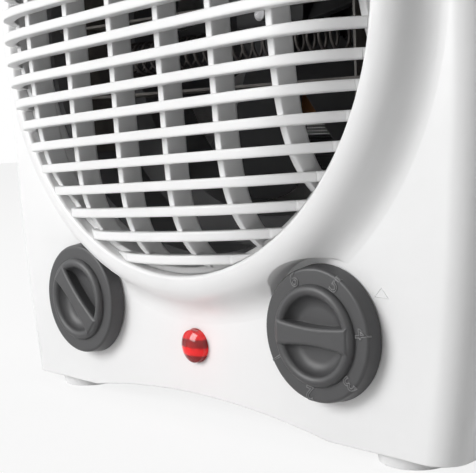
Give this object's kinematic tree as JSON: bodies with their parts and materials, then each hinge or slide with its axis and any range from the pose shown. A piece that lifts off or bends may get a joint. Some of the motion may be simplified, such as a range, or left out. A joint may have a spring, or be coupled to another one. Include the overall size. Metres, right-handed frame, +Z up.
{
  "type": "fan heater",
  "caption": "Upright desktop fan heater with a round domed outlet grille, two rotary knobs, a pilot lamp, four feet and a rear hand grip.",
  "frame": {"origin": "centre of the heater's footprint at floor level, under the middle of its overall box", "axes": "+Z up, -Y out of the warm air outlet, +X to the viewer's right when facing the outlet"},
  "size_m": [0.233, 0.13, 0.266],
  "materials": {
    "white_casing": "satin",
    "white_grille": "satin",
    "grey_knob": "fine satin",
    "black_plastic": "matte",
    "duct_plastic": "satin",
    "steel": "brushed",
    "lamp_red": "clear",
    "bulb_glass": "clear",
    "foot_plastic": "satin",
    "core_steel": "laminated",
    "winding": "enamelled wire",
    "mica": "layered sheet",
    "coil_wire": "drawn wire",
    "screw_steel": "zinc plated",
    "lead_cover": "satin"
  },
  "bodies": {
    "casing": {"front_cover": "white_casing", "rear_cover": "white_casing", "front_grille": "white_grille", "hand_grip_cup": "white_casing", "rotary_switch": "black_plastic", "thermostat": "black_plastic", "bimetal_blade": "winding", "lamp_lens": "lamp_red", "lamp_holder": "black_plastic", "neon_bulb": "bulb_glass", "front_left_foot": "foot_plastic", "front_right_foot": "foot_plastic", "rear_left_foot": "foot_plastic", "rear_right_foot": "foot_plastic", "air_duct": "duct_plastic", "motor_bracket": "steel", "front_bearing_bridge": "steel", "rear_bearing_bridge": "steel", "motor_core": "core_steel", "motor_winding": "winding", "heater_frame": "mica", "upper_heating_coil": "coil_wire", "lower_heating_coil": "coil_wire", "thermal_cutout": "steel", "terminal_block": "black_plastic", "cable_inlet_bush": "black_plastic", "casing_screws": "screw_steel", "duct_screws": "screw_steel", "bracket_screws": "screw_steel", "motor_screws": "screw_steel", "switch_lead": "lead_cover", "thermostat_lead": "lead_cover", "lamp_lead": "lead_cover"},
    "selector": {"selector_knob": "grey_knob", "selector_spindle": "steel"},
    "thermostat_dial": {"thermostat_knob": "grey_knob", "thermostat_spindle": "steel"},
    "fan": {"fan_impeller": "black_plastic", "motor_shaft": "steel", "motor_rotor": "core_steel"}
  },
  "joints": [
    {"name": "selector_turn", "type": "hinge", "parent": "casing", "child": "selector", "pos_m": [-0.061, -0.04, 0.039], "axis": [0, -1, 0], "range_deg": [-90, 45]},
    {"name": "thermostat_turn", "type": "hinge", "parent": "casing", "child": "thermostat_dial", "pos_m": [0.061, -0.04, 0.039], "axis": [0, -1, 0], "range_deg": [-75, 190]},
    {"name": "fan_spin", "type": "hinge", "parent": "casing", "child": "fan", "pos_m": [0, 0.012, 0.1433], "axis": [0, -1, 0], "continuous": true}
  ]
}
